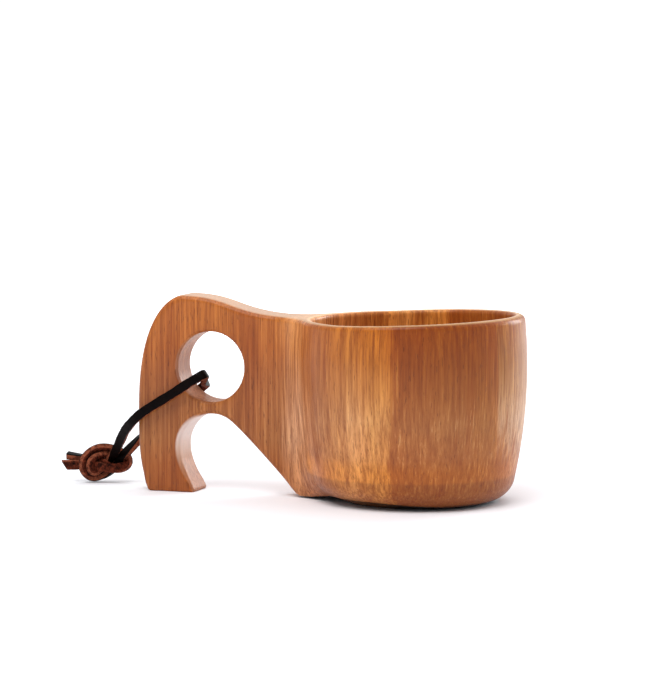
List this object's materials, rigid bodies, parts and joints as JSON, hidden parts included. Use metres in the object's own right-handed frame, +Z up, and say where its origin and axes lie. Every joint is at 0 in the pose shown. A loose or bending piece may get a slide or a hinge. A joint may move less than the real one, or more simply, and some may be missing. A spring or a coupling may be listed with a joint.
{
  "type": "kuksa wooden cup",
  "caption": "Kuksa drinking cup carved from one block of wood: round bowl, slab handle with finger hole and notch, and a knotted leather wrist lace through the hole.",
  "frame": {"origin": "centre of the bowl's foot on the surface the cup stands on, on the bowl's vertical axis", "axes": "+X runs from the handle to the bowl, +Z is up, and the wood is symmetric about the XZ plane"},
  "size_m": [0.1465, 0.0668, 0.059],
  "materials": {
    "wood": "oiled, satin, grain running up and down",
    "leather": "waxed thong, black grain side and red-brown cut edges"
  },
  "bodies": {
    "cup": {"cup_body": "wood"},
    "lanyard": {"lace_front": "leather", "lace_back": "leather", "lace_knot": "leather", "lace_tail_upper": "leather", "lace_tail_lower": "leather"}
  },
  "joints": [
    {"name": "lanyard_swing", "type": "hinge", "parent": "cup", "child": "lanyard", "pos_m": [-0.0623, 0, 0.0355], "axis": [0, 1, 0], "range_deg": [0, 150]}
  ]
}
